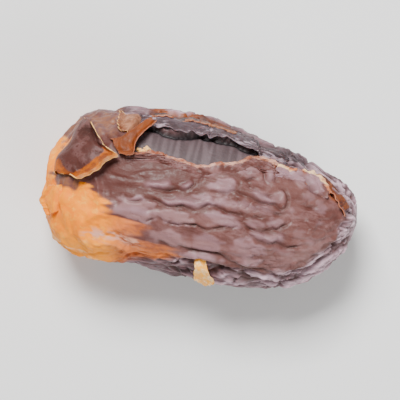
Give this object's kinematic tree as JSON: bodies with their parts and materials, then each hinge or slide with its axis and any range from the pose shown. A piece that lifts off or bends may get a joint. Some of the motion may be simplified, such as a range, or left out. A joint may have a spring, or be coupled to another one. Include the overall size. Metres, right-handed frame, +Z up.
{
  "type": "date fruit",
  "caption": "Whole dried medjool date lying on its side, with wrinkled skin, a long tear along the back and loose curled flaps of skin at the stem end.",
  "frame": {"origin": "on the surface it lies on, inside the flat spot that it rests on, near its middle", "axes": "+X lengthwise towards the tip, -X towards the stem end, +Y to the side with the torn skin, +Z up"},
  "size_m": [0.0499, 0.026, 0.0241],
  "materials": {
    "date_skin": "satin wrinkled skin"
  },
  "bodies": {
    "root": {"medjool_date": "date_skin"}
  },
  "joints": []
}
